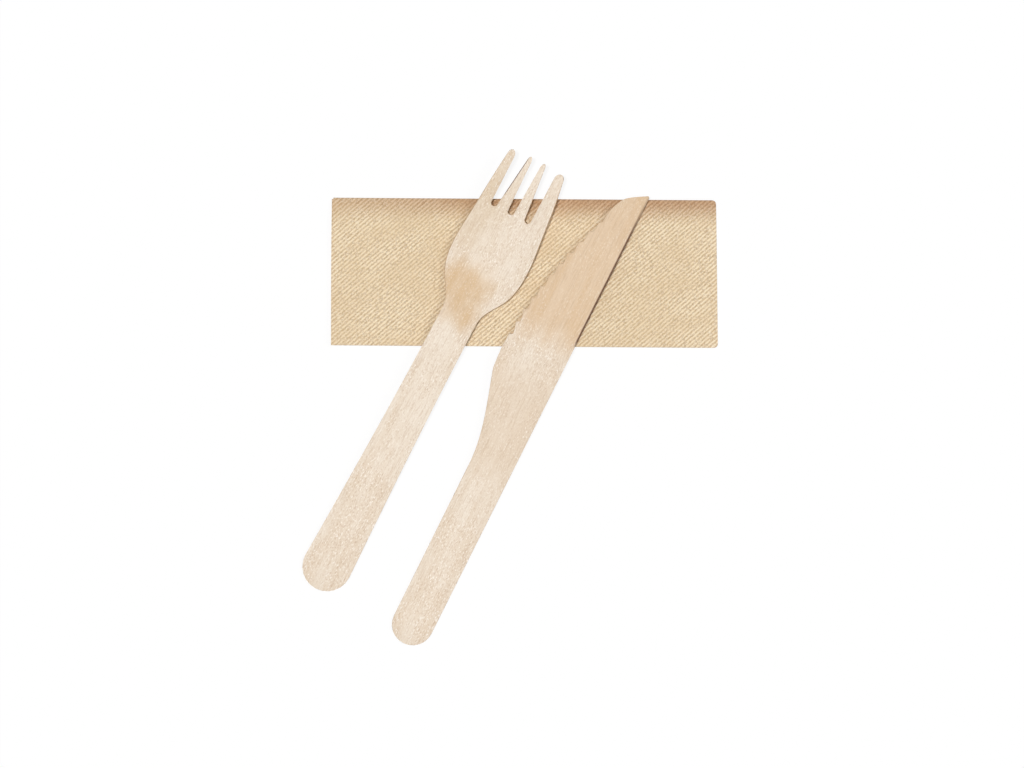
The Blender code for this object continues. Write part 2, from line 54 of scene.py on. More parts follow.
bl_info = {
    "name": "Cutlery set",
    "version": (1, 0, 0),
    "blender": (4, 5, 0),
    "location": "3D View > Sidebar > Cutlery set",
    "description": "Makes a wooden fork, a wooden knife and a folded paper napkin",
    "category": "Add Mesh",
}

MM = 0.001

# The folded sheet
FOLD_STEPS = 12              # steps round a fold in the paper
COARSE_COLUMNS = 26          # columns of the hidden layers along the napkin
FINE_SHARE = 16              # columns of the embossed panel for each of those
HIDDEN_STEP = 4 * MM         # from row to row in the hidden panels
HIDDEN_SKIP = 12             # the layers under the embossed one keep one of its rows in so many
SOFT_FOLD_LIFT = 0.18 * MM   # air that stays between the panels at the soft fold
SOFT_FOLD_SHARE = 0.41       # share of the hollow past the tuck where the top panel comes down
CORNER_REACH = 5 * MM        # how far from the side fold its rounding is felt
END_WAVE = 210 * MM          # length of sheet over which its cut ends wander in and out
END_FADE = 8                 # power with which that dies away along the napkin
BEAD_LENGTH = 0.9 * MM       # the ridges are beaded: their height changes over this length
BEAD_WIDTH = 0.8 * MM        # and over this width
BEAD_LEVEL = 0.9             # middle height of a ridge, as a share of the full one
BEAD_SHARE = 0.2             # and the most that a bead adds to it or takes from it

# The materials
FOLD_SHADE_WIDTH = 8.8 * MM        # how far from its edge the soft fold has painted shade
SHADE_SPOT_SOFTNESS = 8 * MM        # half the width of the soft edge of the spot of painted shade
SPOT_WANDER = 9 * MM         # how much the noise moves the edge of a spot from end to end
SPOT_ROUNDNESS = 0.8         # corner radius of a spot as a share of its smaller half size
SPOT_HEIGHT = 1 * MM         # a spot keeps its full size up to this height, and shrinks above
LINE_START = 4 * MM          # length over which a thin line comes up to its full strength
LINE_CORE = 0.4              # share of a thin line's width that has its full strength
LINE_FADE = 0.6              # share of its length after which it fades out
TABLE_GLOW = 0.87            # share of pure white in the table that the camera sees

# The surfaces and the stage
PAPER_ANGLE = math.radians(50)   # faces that meet at less than this are shaded as one surface
WOOD_ANGLE = math.radians(40)
MERGE_DISTANCE = 0.002 * MM      # corners of the CAD's loose triangles this close are joined
TABLE_SIZE = 6.0
TABLE_GAP = 0.02 * MM            # the table lies this far under the pieces, so no faces coincide
SENSOR_WIDTH = 36.0              # in millimetres, as the lens is

# Kinds of node used often, and their settings
MATH = "ShaderNodeMath"
VECTOR_MATH = "ShaderNodeVectorMath"
RAMP = "ShaderNodeMapRange"      # inputs: value, its low and high end, what those give
SMOOTH = {"interpolation_type": "SMOOTHSTEP"}
MIX = "ShaderNodeMix"            # inputs: share of the second, first, second
COLOURS = {"data_type": "RGBA"}


def linear(hex_colour):
    """Linear RGB of an sRGB hex colour."""
    channels = [int(hex_colour[i : i + 2], 16) / 255 for i in (1, 3, 5)]
    return [c / 12.92 if c <= 0.04045 else ((c + 0.055) / 1.055) ** 2.4 for c in channels]


def colour_setting(name, description, hex_colour):
    """A colour in the settings, with an sRGB hex value as its default."""
    return FloatVectorProperty(
        name=name, description=description, subtype="COLOR", min=0.0, max=1.0, default=linear(hex_colour)
    )


def length_setting(name, description, default):
    """A length in the settings, in metres."""
    return FloatProperty(
        name=name, description=description, default=default, min=0.0, precision=5, unit="LENGTH"
    )


def angle_setting(name, description, degrees):
    """An angle in the settings, with its default in degrees."""
    return FloatProperty(name=name, description=description, default=math.radians(degrees), subtype="ANGLE")


def pair_setting(name, description, default):
    """Two lengths in the settings: x and y, or along the wood and across it."""
    return FloatVectorProperty(
        name=name, description=description, default=default, size=2, precision=5, unit="LENGTH"
    )


class NapkinSettings(bpy.types.PropertyGroup):
    """Sizes and colours of the napkin"""

    tuck_width: length_setting("Tuck width", "Short panel folded between the other two", 0.0296)
    paper: length_setting("Paper", "Thickness of both plies together", 0.00017)
    gap: length_setting("Gap", "Air between two layers", 0.00005)
    corner: length_setting("Corner", "Round of the corners at the side fold", 0.0013)
    ridge_pitch: length_setting("Ridge pitch", "From one embossed ridge to the next", 0.001075)
    ridge_depth: length_setting("Ridge depth", "Height of the embossed ridges", 0.00008)
    ridge_turn: angle_setting("Ridge turn", "Direction of the ridges from the long side", 41.2)
    lean: length_setting("Lean", "How far the side fold leans in towards the soft fold", 0.0009)
    stagger: length_setting("Stagger", "How far the cut ends of the layers miss one another", 0.0006)
    # Ridges and Grooves: a painted highlight on the embossed ridges and painted shade in the grooves.
    ridge_highlight_colour: colour_setting("Ridges", "Colour of the tissue on its ridges", "#f8e7c8")
    groove_shade_colour: colour_setting("Grooves", "Colour of the tissue in its grooves", "#d0b28b")
    fibre_colour: colour_setting("Fibres", "Colour of the pale fibres", "#faf0dc")
    speck_colour: colour_setting("Specks", "Colour of the dark specks", "#a98862")
    cloud_colour: colour_setting("Clouds", "Colour of the patches where the pulp is denser", "#d9bd95")
    # Soft fold: colour of the painted shade where the top panel curves down at the soft fold.
    fold_shade_colour: colour_setting("Soft fold", "Colour that the soft fold deepens towards", "#b98a63")


class WoodSettings(bpy.types.PropertyGroup):
    """Place and colours of the fork or the knife"""

    butt: pair_setting("Butt", "Place of the butt's end on the table", (-0.06697, -0.10258))
    turn: angle_setting("Turn", "Direction from the butt to the tip", 62.5)
    # The toasted spot is partly the press's heat tint and partly painted shade of the slopes into the bowl
    # and the blade.
    toast_and_shade_place: pair_setting("Toast place", "Middle of the spot that the press toasted", (0.1055, 0.0032))
    toast_and_shade_size: pair_setting("Toast size", "Half the toasted spot's length and width", (0.0115, 0.0086))
    toast_and_shade_softness: length_setting("Toast softness", "Half the width of that spot's soft edge", 0.0035)
    # Tan place and size: a spot of painted shade, a darker colour standing in for shade on the surface.
    shade_spot_place: pair_setting("Tan place", "Middle of the spot of darker wood", (0.154, 0.0145))
    shade_spot_size: pair_setting("Tan size", "Half the darker spot's length and width", (0.034, 0.011))
    # Scorch start, end and reach: a thin line of painted shadow along an edge, standing in for the shadow
    # beside the knife's spine and the shade beside the fork's second tine.
    shadow_line_start: pair_setting("Scorch start", "Start of the scorched line along an edge", (0.139, 0.0058))
    shadow_line_end: pair_setting("Scorch end", "End of the scorched line along an edge", (0.158, 0.0037))
    shadow_line_reach: length_setting("Scorch reach", "How far the scorched line reaches to each side", 0.0004)
    pale_colour: colour_setting("Pale wood", "Colour of the early wood", "#efe2d1")
    warm_colour: colour_setting("Warm wood", "Colour of the late wood", "#e3d0b9")
    fleck_colour: colour_setting("Flecks", "Colour of the pores", "#c3a382")
    glint_colour: colour_setting("Glints", "Colour of the short pale rays", "#fdf4e9")
    # Tan wood: colour of the painted shade in that spot.
    shade_spot_colour: colour_setting("Tan wood", "Colour of the darker wood", "#d6be9c")
    # Toasted wood: heat tint of the press, deepened with painted shade.
    toast_and_shade_colour: colour_setting("Toasted wood", "Colour where the hot press touched longest", "#d7b78e")
    cut_colour: colour_setting("Cut edge", "Colour of the stamped edge", "#dcc09c")
    # Scorched edge: colour of that line of painted shadow.
    shadow_line_colour: colour_setting("Scorched edge", "Colour of the scorched line", "#552a08")


class StageSettings(bpy.types.PropertyGroup):
    """The camera, the lights and the table"""

    camera_place: FloatVectorProperty(
        name="Camera place",
        description="Place of the camera over the table",
        default=(-0.00387, -0.03604, 0.922),
        precision=5,
        subtype="TRANSLATION",
    )
    camera_roll: angle_setting("Camera roll", "Turn of the camera round its line of sight", 0.4)
    camera_lens: FloatProperty(name="Lens", description="Focal length", default=100.0, unit="CAMERA")
    fill_strength: FloatProperty(name="Fill", description="Strength of the light all round", default=0.26)
    key_strength: FloatProperty(name="Key light", description="Strength of the key light", default=1.86)
    key_turn: angle_setting("Key turn", "Side that the key light comes from", 190)
    key_rise: angle_setting("Key rise", "Height of the key light over the table", 82)
    key_spread: angle_setting("Key spread", "Apparent width of the key light", 6)
    side_strength: FloatProperty(name="Side light", description="Strength of the softer light", default=0.6)
    side_turn: angle_setting("Side turn", "Side that the softer light comes from", 10)
    side_rise: angle_setting("Side rise", "Height of the softer light over the table", 56)
    side_spread: angle_setting("Side spread", "Apparent width of the softer light", 24)
    table_colour: colour_setting("Table", "Colour of the table", "#ffffff")


class CutlerySettings(bpy.types.PropertyGroup):
    """All settings of the cutlery set"""

    napkin: PointerProperty(name="Napkin", description="Settings of the napkin", type=NapkinSettings)
    fork: PointerProperty(name="Fork", description="Settings of the fork", type=WoodSettings)
    knife: PointerProperty(name="Knife", description="Settings of the knife", type=WoodSettings)
    stage: PointerProperty(name="Stage", description="Settings of the stage", type=StageSettings)


# Materials


def add_node(tree, kind, inputs=(), output="", **settings):
    """Adds a node with its settings and links, and gives one of its outputs.

    Inputs are values or outputs of other nodes. A list fills the sockets that the node has in
    use, in their order, and a dictionary names them. The output is the first in use, or a named one.
    """
    made = tree.nodes.new(kind)
    for name, value in settings.items():
        setattr(made, name, value)
    in_use = [socket for socket in made.inputs if socket.enabled]
    sockets = [made.inputs[name] for name in inputs] if isinstance(inputs, dict) else in_use
    values = inputs.values() if isinstance(inputs, dict) else inputs
    for socket, value in zip(sockets, values):
        if isinstance(value, bpy.types.NodeSocket):
            tree.links.new(value, socket)
        elif socket.type == "RGBA":
            socket.default_value = (*value, 1.0)
        else:
            socket.default_value = value
    if output:
        return made.outputs[output]
    return next((socket for socket in made.outputs if socket.enabled), None)


def start_material(name):
    """A new material and its node tree, which is empty."""
    material = bpy.data.materials.new(name)
    material.use_nodes = True
    tree = material.node_tree
    tree.nodes.clear()
    return material, tree


def stretched_noise(tree, place, along, across, detail, distortion=0.0):
    """Noise whose spots are so long along x and so wide across it, in metres."""
    scale = (1 / along, 1 / across, 1 / across)
    scaled = add_node(tree, VECTOR_MATH, [place, scale], operation="MULTIPLY")
    inputs = {"Vector": scaled, "Scale": 1.0, "Detail": detail, "Distortion": distortion}
    return add_node(tree, "ShaderNodeTexNoise", inputs)


def spot(tree, place, middle, half_size, softness, wander):
    """1 inside a rounded spot and 0 outside it, with a soft edge that wanders."""
    corner = SPOT_ROUNDNESS * min(half_size)
    core = (half_size[0] - corner, half_size[1] - corner, SPOT_HEIGHT)
    offset = add_node(tree, VECTOR_MATH, [place, (*middle, 0.0)], operation="SUBTRACT")
    offset = add_node(tree, VECTOR_MATH, [offset], operation="ABSOLUTE")
    past = add_node(tree, VECTOR_MATH, [offset, core], operation="SUBTRACT")
    past = add_node(tree, VECTOR_MATH, [past, (0.0, 0.0, 0.0)], operation="MAXIMUM")
    reach = add_node(tree, VECTOR_MATH, [past], operation="LENGTH")
    edge = add_node(tree, MATH, [wander, SPOT_WANDER, corner - SPOT_WANDER / 2], operation="MULTIPLY_ADD")
    outside = add_node(tree, MATH, [reach, edge], operation="SUBTRACT")
    return add_node(tree, RAMP, [outside, -softness, softness, 1.0, 0.0], **SMOOTH)


def thin_line(tree, place, start, end, half_width):
    """1 on a thin straight line and 0 beside it. It starts quickly and fades out to its end."""
    way = Vector(end) - Vector(start)
    unit = way.normalized()
    offset = add_node(tree, VECTOR_MATH, [place, (*start, 0.0)], operation="SUBTRACT")
    along = add_node(tree, VECTOR_MATH, [offset, (unit.x, unit.y, 0.0)], operation="DOT_PRODUCT")
    across = add_node(tree, VECTOR_MATH, [offset, (-unit.y, unit.x, 0.0)], operation="DOT_PRODUCT")
    across = add_node(tree, MATH, [across], operation="ABSOLUTE")
    near = add_node(tree, RAMP, [across, LINE_CORE * half_width, half_width, 1.0, 0.0], **SMOOTH)
    begun = add_node(tree, RAMP, [along, 0.0, LINE_START, 0.0, 1.0], **SMOOTH)
    left = add_node(tree, RAMP, [along, LINE_FADE * way.length, way.length, 1.0, 0.0], **SMOOTH)
    line = add_node(tree, MATH, [near, begun], operation="MULTIPLY")
    return add_node(tree, MATH, [line, left], operation="MULTIPLY")


def birch_material(name, wood):
    """Rotary-cut birch veneer, hot-pressed and tumbled, without a coat.

    To the eye: pale and matt, with short fine pores along the length, soft warm bands, a tan
    bloom where the hot press held it longest, deepened with painted shade, a spot of painted
    shade, and a thin line of painted shadow along one edge.
    """
    material, tree = start_material(name)
    turned = Matrix.Rotation(-wood.turn, 3, "Z")
    butt = turned @ Vector((*wood.butt, 0.0))
    coordinates = add_node(tree, "ShaderNodeTexCoord", output="Object")
    mapping = {"Vector": coordinates, "Location": -butt, "Rotation": (0.0, 0.0, -wood.turn)}
    place = add_node(tree, "ShaderNodeMapping", mapping)

    # Bands of early and late wood, and soft clouds across them.
    bands = stretched_noise(tree, place, 60 * MM, 3.2 * MM, 2.0, 0.3)
    clouds = stretched_noise(tree, place, 12 * MM, 7 * MM, 2.0)
    # Real fibres, pores and rays are a few hundredths of a millimetre wide, too fine to show.
    # They are drawn wider than a pixel, which is 0.32 mm, as coarse as they need to be to show.
    fibres = stretched_noise(tree, place, 7 * MM, 0.36 * MM, 2.0)
    pores = stretched_noise(tree, place, 0.9 * MM, 0.36 * MM, 1.0)
    glints = stretched_noise(tree, place, 0.8 * MM, 0.38 * MM, 1.0)

    # Pale wood with warm bands, a spot of painted shade, and the toasted spot, deepened with painted shade.
    warm_bands = add_node(tree, RAMP, [bands, 0.35, 0.68, 0.0, 0.4], **SMOOTH)
    warm_clouds = add_node(tree, RAMP, [clouds, 0.3, 0.7, 0.1, 0.5], **SMOOTH)
    warmth = add_node(tree, MATH, [warm_bands, warm_clouds], operation="ADD")
    colour = add_node(tree, MIX, [warmth, wood.pale_colour, wood.warm_colour], **COLOURS)
    # Spot of painted shade: darker where the surface turns away from the light.
    shade_spot = spot(tree, place, wood.shade_spot_place, wood.shade_spot_size, SHADE_SPOT_SOFTNESS, clouds)
    shade_spot_depth = add_node(tree, MATH, [shade_spot, 0.66], operation="MULTIPLY")
    colour = add_node(tree, MIX, [shade_spot_depth, colour, wood.shade_spot_colour], **COLOURS)
    # Toasted spot: heat tint of the press, deepened with painted shade.
    toast_and_shade = spot(tree, place, wood.toast_and_shade_place, wood.toast_and_shade_size, wood.toast_and_shade_softness, clouds)
    toast_and_shade_bands = add_node(tree, RAMP, [bands, 0.35, 0.65, 0.8, 1.0], **SMOOTH)
    toast_and_shade_depth = add_node(tree, MATH, [toast_and_shade, toast_and_shade_bands], operation="MULTIPLY")
    colour = add_node(tree, MIX, [toast_and_shade_depth, colour, wood.toast_and_shade_colour], **COLOURS)

    # Fibres, pores and glints, which are fainter where the press has smoothed the wood and in the spot of
    # painted shade.
    streaks = add_node(tree, RAMP, [fibres, 0.45, 0.75, 0.0, 0.35], **SMOOTH)
    colour = add_node(tree, MIX, [streaks, colour, wood.fleck_colour], **COLOURS)
    shade_spot_smooth = add_node(tree, MATH, [shade_spot, 0.4], operation="MULTIPLY")
    smooth = add_node(tree, MATH, [toast_and_shade, shade_spot_smooth], operation="MAXIMUM")
    rough = add_node(tree, MATH, [smooth, -0.65, 1.0], operation="MULTIPLY_ADD")
    patches = add_node(tree, RAMP, [clouds, 0.38, 0.6, 0.6, 1.15], **SMOOTH)
    grain = add_node(tree, MATH, [rough, patches], operation="MULTIPLY")
    dark = add_node(tree, RAMP, [pores, 0.52, 0.74, 0.0, 0.5], **SMOOTH)
    dark = add_node(tree, MATH, [dark, grain], operation="MULTIPLY")
    colour = add_node(tree, MIX, [dark, colour, wood.fleck_colour], **COLOURS)
    light = add_node(tree, RAMP, [glints, 0.52, 0.74, 0.0, 0.7], **SMOOTH)
    light = add_node(tree, MATH, [light, grain], operation="MULTIPLY")
    colour = add_node(tree, MIX, [light, colour, wood.glint_colour], **COLOURS)

    # The stamped edge, seen where the surface stands steep, and a thin line of painted shadow along one
    # edge.
    normal = add_node(tree, "ShaderNodeNewGeometry", output="Normal")
    upright = add_node(tree, "ShaderNodeSeparateXYZ", [normal], output="Z")
    upright = add_node(tree, MATH, [upright], operation="ABSOLUTE")
    edge = add_node(tree, RAMP, [upright, 0.5, 0.85, 0.9, 0.0], **SMOOTH)
    colour = add_node(tree, MIX, [edge, colour, wood.cut_colour], **COLOURS)
    # A thin dark line of painted shadow along one edge.
    shadow_line = thin_line(tree, place, wood.shadow_line_start, wood.shadow_line_end, wood.shadow_line_reach)
    shadow_line = add_node(tree, MATH, [shadow_line, 0.95], operation="MULTIPLY")
    colour = add_node(tree, MIX, [shadow_line, colour, wood.shadow_line_colour], **COLOURS)

    # Raised fibres and sunken pores, and a gloss that changes from fibre to fibre.
    raised = add_node(tree, MATH, [fibres, 0.6], operation="MULTIPLY")
    sunken = add_node(tree, MATH, [pores, 0.8], operation="MULTIPLY")
    relief = add_node(tree, MATH, [raised, sunken], operation="SUBTRACT")
    bump = add_node(tree, "ShaderNodeBump", {"Height": relief, "Strength": 0.55, "Distance": 0.06 * MM})
    gloss = add_node(tree, RAMP, [fibres, 0.3, 0.7, 0.56, 0.7], **SMOOTH)
    finish = {"Base Color": colour, "Roughness": gloss, "Normal": bump, "IOR": 1.5}
    shader = add_node(tree, "ShaderNodeBsdfPrincipled", finish)
    add_node(tree, "ShaderNodeOutputMaterial", {"Surface": shader})
    return material


def tissue_material(name, napkin):
    """Unbleached two-ply tissue, embossed with fine slanting ridges.

    To the eye: matt light brown, with a painted highlight on the ridges and painted shade in the
    grooves, short fibres and pale and dark specks of recycled pulp.
    """
    material, tree = start_material(name)
    coordinates = add_node(tree, "ShaderNodeTexCoord", output="Object")
    mapping = {"Vector": coordinates, "Rotation": (0.0, 0.0, -napkin.ridge_turn)}
    place = add_node(tree, "ShaderNodeMapping", mapping)

    # Pulp fibres and specks are a few hundredths of a millimetre wide, too fine to show. They and
    # the dashes are drawn a pixel wide or more, as coarse as they need to be to show.
    dashes = stretched_noise(tree, place, 1.3 * MM, 0.5 * MM, 2.0)
    fibres = stretched_noise(tree, place, 1.0 * MM, 0.32 * MM, 1.0)
    specks = stretched_noise(tree, place, 0.55 * MM, 0.34 * MM, 0.0)
    clouds = stretched_noise(tree, coordinates, 15 * MM, 9 * MM, 3.0)

    # Ridges with a painted highlight, broken up by the dashes, and grooves with painted shade.
    across = add_node(tree, "ShaderNodeSeparateXYZ", [place], output="Y")
    phase = add_node(tree, MATH, [across, 2 * math.pi / napkin.ridge_pitch], operation="MULTIPLY")
    wave = add_node(tree, MATH, [phase], operation="SINE")
    ridge = add_node(tree, MATH, [wave, 0.28, 0.39], operation="MULTIPLY_ADD")
    height = add_node(tree, MATH, [dashes, 0.22, ridge], operation="MULTIPLY_ADD")
    share = add_node(tree, RAMP, [height, 0.1, 0.9, 0.0, 1.0], **SMOOTH)
    colour = add_node(tree, MIX, [share, napkin.groove_shade_colour, napkin.ridge_highlight_colour], **COLOURS)

    # Fibres, specks and clouds in the pulp.
    pale = add_node(tree, RAMP, [fibres, 0.5, 0.66, 0.0, 0.5], **SMOOTH)
    colour = add_node(tree, MIX, [pale, colour, napkin.fibre_colour], **COLOURS)
    dark = add_node(tree, RAMP, [specks, 0.48, 0.3, 0.0, 0.45], **SMOOTH)
    colour = add_node(tree, MIX, [dark, colour, napkin.speck_colour], **COLOURS)
    dense = add_node(tree, RAMP, [clouds, 0.35, 0.7, 0.0, 0.35], **SMOOTH)
    colour = add_node(tree, MIX, [dense, colour, napkin.cloud_colour], **COLOURS)

    # Painted shade darkens the soft fold, most of all towards the side fold.
    x = add_node(tree, "ShaderNodeSeparateXYZ", [coordinates], output="X")
    y = add_node(tree, "ShaderNodeSeparateXYZ", [coordinates], output="Y")
    side = add_node(tree, RAMP, [x, NAPKIN_LOW.x, 0.0, 0.5, 1.0], **SMOOTH)
    # Painted shade over the last few millimetres of the soft fold.
    fold_shade = add_node(tree, RAMP, [y, NAPKIN_HIGH.y - FOLD_SHADE_WIDTH, NAPKIN_HIGH.y, 0.0, 0.65], **SMOOTH)
    fold_shade = add_node(tree, MATH, [side, fold_shade], operation="MULTIPLY")
    colour = add_node(tree, MIX, [fold_shade, colour, napkin.fold_shade_colour], blend_type="MULTIPLY", **COLOURS)

    fuzz = add_node(tree, "ShaderNodeBump", {"Height": fibres, "Strength": 0.5, "Distance": 0.07 * MM})
    finish = {"Base Color": colour, "Roughness": 0.95, "Normal": fuzz, "Sheen Weight": 0.08}
    shader = add_node(tree, "ShaderNodeBsdfPrincipled", finish)
    add_node(tree, "ShaderNodeOutputMaterial", {"Surface": shader})
    return material


def table_material(name, colour):
    """Matt white board: nearly pure white to the camera and to gloss, with faint shadows on it."""
    material, tree = start_material(name)
    board = add_node(tree, "ShaderNodeBsdfDiffuse", {"Color": colour})
    glow = add_node(tree, "ShaderNodeEmission", {"Color": colour, "Strength": 1.0})
    share = add_node(tree, MATH, [camera_or_gloss(tree), TABLE_GLOW], operation="MULTIPLY")
    surface = add_node(tree, "ShaderNodeMixShader", [share, board, glow])
    add_node(tree, "ShaderNodeOutputMaterial", {"Surface": surface})
    return material


def camera_or_gloss(tree):
    """1 for rays that show the background: the camera's, gloss and transmission."""
    seen = 0.0
    for kind in ("Is Camera Ray", "Is Glossy Ray", "Is Transmission Ray"):
        ray = add_node(tree, "ShaderNodeLightPath", output=kind)
        seen = add_node(tree, MATH, [seen, ray], operation="MAXIMUM")
    return seen


# Shapes


def spaced(start, end, step):
    """Even places from start to end, both included, no further apart than step."""
    count = max(1, math.ceil(abs(end - start) / step))
    return [start + (end - start) * i / count for i in range(count + 1)]


def fold_round(y, z, radius, start_deg, turn_deg):
    """Points of a fold round (y, z), without the first and the last."""
    angles = [math.radians(start_deg + turn_deg * i / FOLD_STEPS) for i in range(1, FOLD_STEPS)]
    return [(y + radius * math.cos(a), z + radius * math.sin(a)) for a in angles]


def left_normals(line):
    """Unit normals on the left of a line of (y, z) points."""
    steps = np.diff(np.array(line), axis=0)
    steps /= np.linalg.norm(steps, axis=1)[:, None]
    along = np.vstack([steps[:1], steps[:-1] + steps[1:], steps[-1:]])
    along /= np.linalg.norm(along, axis=1)[:, None]
    return np.column_stack([-along[:, 1], along[:, 0]])


def panel_line(napkin, half_width, fine_step):
    """Middle line of the four-layer stack through the three panels, and where the top one starts."""
    layer = napkin.paper + napkin.gap
    stack = 4 * layer
    shell = (3 * layer + napkin.paper) / 2
    bottom = shell
    tuck = bottom + stack
    top = tuck + stack
    hard = -half_width + shell + stack / 2
    tuck_end = -half_width + napkin.tuck_width
    soft_top = top - stack + SOFT_FOLD_LIFT
    soft_radius = (soft_top - bottom) / 2
    soft = half_width - shell - soft_radius
    soft_start = soft - SOFT_FOLD_SHARE * (half_width - tuck_end)

    line = [(y, tuck) for y in spaced(tuck_end, hard, HIDDEN_STEP)]
    line += fold_round(hard, (bottom + tuck) / 2, stack / 2, 90, 180)
    line += [(y, bottom) for y in spaced(hard, soft, HIDDEN_STEP)]
    line += fold_round(soft, (bottom + soft_top) / 2, soft_radius, -90, 180)
    start = len(line)
    for y in spaced(soft, -half_width + shell, fine_step):
        share = min(max((y - soft_start) / (soft - soft_start), 0.0), 1.0)
        line.append((y, top - (top - soft_top) * (3 * share**2 - 2 * share**3)))
    return line, start


def ridge_height(napkin, x, y):
    """Embossing at a place, from 0 in the grooves to about 1 on the ridges."""
    across = -x * math.sin(napkin.ridge_turn) + y * math.cos(napkin.ridge_turn)
    along = x * math.cos(napkin.ridge_turn) + y * math.sin(napkin.ridge_turn)
    wave = 0.5 + 0.5 * math.sin(2 * math.pi * across / napkin.ridge_pitch)
    beads = noise.noise(Vector((along / BEAD_LENGTH, across / BEAD_WIDTH, 0.0)))
    return wave * (BEAD_LEVEL + BEAD_SHARE * beads)


def skin_runs(start, fold_x, radius, columns):
    """One skin of the doubled sheet across the napkin: (x, offset) out to the fold and back."""
    out = [(start + (fold_x - start) * i / COARSE_COLUMNS, -radius) for i in range(COARSE_COLUMNS)]
    arc = [math.radians(-90 + 180 * i / FOLD_STEPS) for i in range(FOLD_STEPS + 1)]
    back = [(fold_x + (start - fold_x) * i / columns, radius) for i in range(1, columns + 1)]
    return out + [(fold_x + radius * math.cos(a), radius * math.sin(a)) for a in arc] + back


def join_rings(sheet, before, after):
    """Faces between two rows of points, where one row may be finer past the fold."""
    shared = COARSE_COLUMNS + FOLD_STEPS
    rows = [before, after]
    for k in range(shared):
        sheet.faces.new((before[k], before[k + 1], after[k + 1], after[k]))
    shares = [(len(row) - 1 - shared) // COARSE_COLUMNS for row in rows]
    if shares[0] == shares[1]:
        for k in range(shared, len(before) - 1):
            sheet.faces.new((before[k], before[k + 1], after[k + 1], after[k]))
        return
    for k in range(COARSE_COLUMNS):
        near, far = (
            row[shared + k * share : shared + (k + 1) * share + 1] for row, share in zip(rows, shares)
        )
        sheet.faces.new(near + far[::-1])


def half_sides(napkin):
    """Half the folded napkin's length and width."""
    width = NAPKIN_HIGH.y - NAPKIN_LOW.y
    return width + napkin.tuck_width / 2, width / 2


def uneven(napkin, x, y, travelled):
    """Place along the napkin once its side fold leans, its corners round and its cut ends miss."""
    half_length, half_width = half_sides(napkin)
    share = (x + half_length) / (2 * half_length)
    past = min(max(abs(y) - half_width + napkin.corner, 0.0), napkin.corner)
    rounding = napkin.corner - math.sqrt(napkin.corner**2 - past**2)
    near_fold = max((x - half_length) / CORNER_REACH + 1, 0.0)
    lean = napkin.lean * (1 + y / half_width) / 2
    end = napkin.stagger * (1 + math.sin(2 * math.pi * travelled / END_WAVE)) / 2
    return x - lean * share**2 - rounding * near_fold**2 + end * (1 - share) ** END_FADE


def napkin_mesh(napkin):
    """The folded sheet as one closed mesh, with the embossing modelled on its top panel."""
    half_length, half_width = half_sides(napkin)
    layer = napkin.paper + napkin.gap
    fold_x = half_length - layer / 2 - napkin.paper / 2
    fine_step = 2 * half_length / COARSE_COLUMNS / FINE_SHARE

    line, top_start = panel_line(napkin, half_width, fine_step)
    side = left_normals(line)
    outward = [np.array(p) - layer * n for p, n in zip(line, side)]
    inward = [np.array(p) + layer * n for p, n in zip(line, side)]
    half_fold = [np.array(p) for p in fold_round(line[-1][0], line[-1][1], layer, 90, 180)]
    inward = inward[: top_start + 1] + inward[top_start + 1 : -1 : HIDDEN_SKIP] + inward[-1:]
    path = outward + half_fold + inward[::-1]
    path_normals = -left_normals(path)
    embossed = range(top_start, len(outward))

    outer = layer / 2 + napkin.paper / 2
    inner = layer / 2 - napkin.paper / 2
    coarse = skin_runs(-half_length, fold_x, outer, COARSE_COLUMNS)
    fine = skin_runs(-half_length, fold_x, outer, COARSE_COLUMNS * FINE_SHARE)
    lining = skin_runs(-half_length, fold_x, inner, COARSE_COLUMNS)
    flat_from = COARSE_COLUMNS + FOLD_STEPS

    sheet = bmesh.new()
    rings = []
    travelled = 0.0
    for index, (place, normal) in enumerate(zip(path, path_normals)):
        ring = []
        travelled += math.dist(place, path[max(index - 1, 0)])
        for skin in (fine if index in embossed else coarse, lining):
            points = []
            for column, (x, offset) in enumerate(skin):
                press = 0.0
                if skin is fine and flat_from < column < len(skin) - 1:
                    press = napkin.ridge_depth * (1 - ridge_height(napkin, x, place[0]))
                y, z = place + normal * (offset - press)
                points.append(sheet.verts.new((uneven(napkin, x, y, travelled), y, z)))
            ring.append(points)
        rings.append(ring)
    for before, after in zip(rings, rings[1:]):
        join_rings(sheet, before[0], after[0])
        join_rings(sheet, after[1], before[1])
        for k in (0, -1):
            sheet.faces.new((before[0][k], after[0][k], after[1][k], before[1][k]))
    for ring in (rings[0], rings[-1]):
        for k in range(len(lining) - 1):
            sheet.faces.new((ring[0][k], ring[1][k], ring[1][k + 1], ring[0][k + 1]))
    bmesh.ops.recalc_face_normals(sheet, faces=sheet.faces)
    mesh = bpy.data.meshes.new("napkin_tissue")
    sheet.to_mesh(mesh)
    sheet.free()
    return mesh


def merged_copy(node, name):
    """A copy of a CAD node with its loose triangles joined."""
    bpy.ops.object.select_all(action="DESELECT")
    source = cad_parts[node]
    source.select_set(True)
    bpy.context.view_layer.objects.active = source
    bpy.ops.object.duplicate()
    piece = bpy.context.active_object
    piece.name = name
    piece.data.name = name
    piece.parent = None
    for key in [k for k in piece.keys() if k.startswith("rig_")]:
        del piece[key]
    bpy.ops.mesh.customdata_custom_splitnormals_clear()
    bpy.ops.object.mode_set(mode="EDIT")
    bpy.ops.mesh.select_all(action="SELECT")
    bpy.ops.mesh.remove_doubles(threshold=MERGE_DISTANCE)
    bpy.ops.object.mode_set(mode="OBJECT")
    return piece


def finish_piece(piece, node, material):
    """Gives a piece its material and its place in the frame."""
    piece.data.materials.clear()
    piece.data.materials.append(material)
    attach(piece, "root")
    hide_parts(node)


